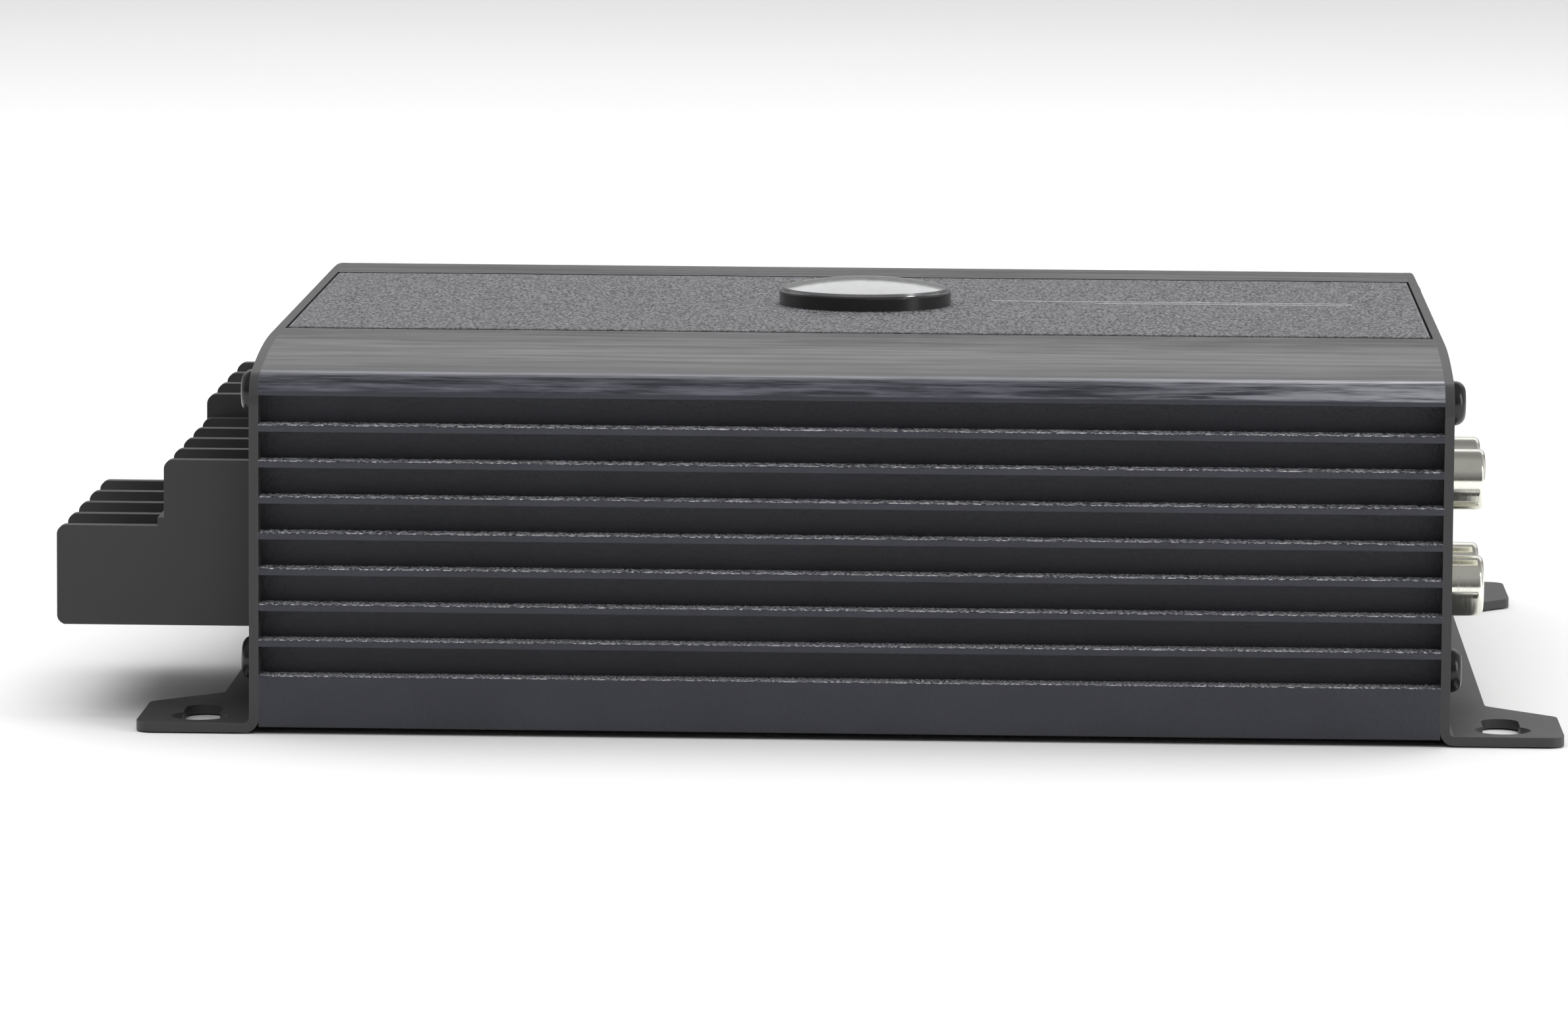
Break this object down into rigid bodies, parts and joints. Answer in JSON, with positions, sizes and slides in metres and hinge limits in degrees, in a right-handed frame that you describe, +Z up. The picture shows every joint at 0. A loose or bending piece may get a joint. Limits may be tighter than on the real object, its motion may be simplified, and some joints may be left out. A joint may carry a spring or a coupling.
{
  "type": "car amplifier",
  "caption": "Low finned-heatsink car audio amplifier with folded end plates, keyhole feet, stepped screw terminals, blade fuses and phono jacks.",
  "frame": {"origin": "on the mounting surface, under the middle of the extruded body", "axes": "+X towards the signal jack end, -X towards the power and speaker terminals, +Z up from the mounting surface"},
  "size_m": [0.1929, 0.153, 0.0518],
  "materials": {
    "powder_coat": "black textured powder coat; the two shoulders are brushed metal under a dark clear coat",
    "blasted_aluminium": "bead-blasted, anodised dark grey",
    "badge_black": "smooth black",
    "badge_chrome": "polished",
    "plate_paint": "satin black paint over steel",
    "black_screw": "black oxide",
    "terminal_plastic": "moulded, fine texture",
    "nickel": "bright nickel plate",
    "tin_plate": "tin plate",
    "fuse_plastic": "translucent green moulding",
    "jack_nickel": "warm nickel plate",
    "white_plastic": "moulded",
    "red_plastic": "moulded",
    "socket_plastic": "natural nylon",
    "circuit_board": "green solder mask",
    "component_black": "moulded epoxy",
    "knob_plastic": "moulded",
    "led_lens": "tinted clear lens",
    "silicone_pad": "grey heat pad",
    "clamp_steel": "zinc plate",
    "ferrite": "coated ferrite",
    "copper_wire": "enamelled copper",
    "capacitor_sleeve": "dark sleeve"
  },
  "bodies": {
    "chassis": {"heatsink_housing": "powder_coat", "top_panel": "blasted_aluminium", "badge_base": "badge_black", "badge_cap": "badge_chrome", "power_end_plate": "plate_paint", "signal_end_plate": "plate_paint", "power_plate_screws": "black_screw", "signal_plate_screws": "black_screw", "bottom_cover": "plate_paint", "bottom_cover_screws": "black_screw", "speaker_terminal_block": "terminal_plastic", "speaker_terminal_contacts": "nickel", "speaker_clamp_washers": "nickel", "speaker_terminal_screws": "nickel", "power_terminal_block": "terminal_plastic", "power_terminal_contacts": "nickel", "power_clamp_washers": "nickel", "power_terminal_screws": "nickel", "fuse_holder": "terminal_plastic", "fuse_clips": "tin_plate", "phono_jack_block": "terminal_plastic", "phono_jack_shells": "jack_nickel", "upper_jack_insulators": "white_plastic", "lower_jack_insulators": "red_plastic", "phono_centre_contacts": "jack_nickel", "high_level_socket": "socket_plastic", "high_level_pins": "tin_plate", "control_board": "circuit_board", "potentiometers": "component_black", "slide_switch_bodies": "tin_plate", "power_led": "led_lens", "led_spacer": "component_black", "board_connector": "component_black", "insulating_strips": "silicone_pad", "transistor_packages": "component_black", "transistor_leadframes": "tin_plate", "clamp_bars": "clamp_steel", "clamp_bar_screws": "black_screw", "toroid_core": "ferrite", "toroid_windings": "copper_wire", "reservoir_capacitors": "capacitor_sleeve", "choke_core": "ferrite", "choke_winding": "copper_wire", "amplifier_chips": "component_black", "board_screws": "black_screw", "main_circuit_board": "circuit_board"},
    "fuse_a": {"fuse_a_body": "fuse_plastic", "fuse_a_blades": "tin_plate"},
    "fuse_b": {"fuse_b_body": "fuse_plastic", "fuse_b_blades": "tin_plate"},
    "front_gain": {"front_gain_knob": "knob_plastic"},
    "rear_gain": {"rear_gain_knob": "knob_plastic"},
    "front_crossover": {"front_crossover_knob": "knob_plastic"},
    "rear_crossover": {"rear_crossover_knob": "knob_plastic"},
    "front_filter": {"front_filter_lever": "knob_plastic"},
    "rear_filter": {"rear_filter_lever": "knob_plastic"},
    "input_level": {"input_level_lever": "knob_plastic"}
  },
  "joints": [
    {"name": "fuse_a_pull", "type": "slide", "parent": "chassis", "child": "fuse_a", "axis": [-1, 0, 0], "range_m": [0, 0.02]},
    {"name": "fuse_b_pull", "type": "slide", "parent": "chassis", "child": "fuse_b", "axis": [-1, 0, 0], "range_m": [0, 0.02]},
    {"name": "front_gain_turn", "type": "hinge", "parent": "chassis", "child": "front_gain", "pos_m": [0.0759, 0.014, 0.0288], "axis": [1, 0, 0], "range_deg": [-135, 135]},
    {"name": "rear_gain_turn", "type": "hinge", "parent": "chassis", "child": "rear_gain", "pos_m": [0.0759, 0.014, 0.0147], "axis": [1, 0, 0], "range_deg": [-135, 135]},
    {"name": "front_crossover_turn", "type": "hinge", "parent": "chassis", "child": "front_crossover", "pos_m": [0.0759, 0.03, 0.0288], "axis": [1, 0, 0], "range_deg": [-135, 135]},
    {"name": "rear_crossover_turn", "type": "hinge", "parent": "chassis", "child": "rear_crossover", "pos_m": [0.0759, 0.03, 0.0147], "axis": [1, 0, 0], "range_deg": [-135, 135]},
    {"name": "front_filter_slide", "type": "slide", "parent": "chassis", "child": "front_filter", "axis": [0, 1, 0], "range_m": [-0.002, 0.002]},
    {"name": "rear_filter_slide", "type": "slide", "parent": "chassis", "child": "rear_filter", "axis": [0, 1, 0], "range_m": [-0.002, 0.002]},
    {"name": "input_level_slide", "type": "slide", "parent": "chassis", "child": "input_level", "axis": [0, 1, 0], "range_m": [0, 0.003]}
  ]
}
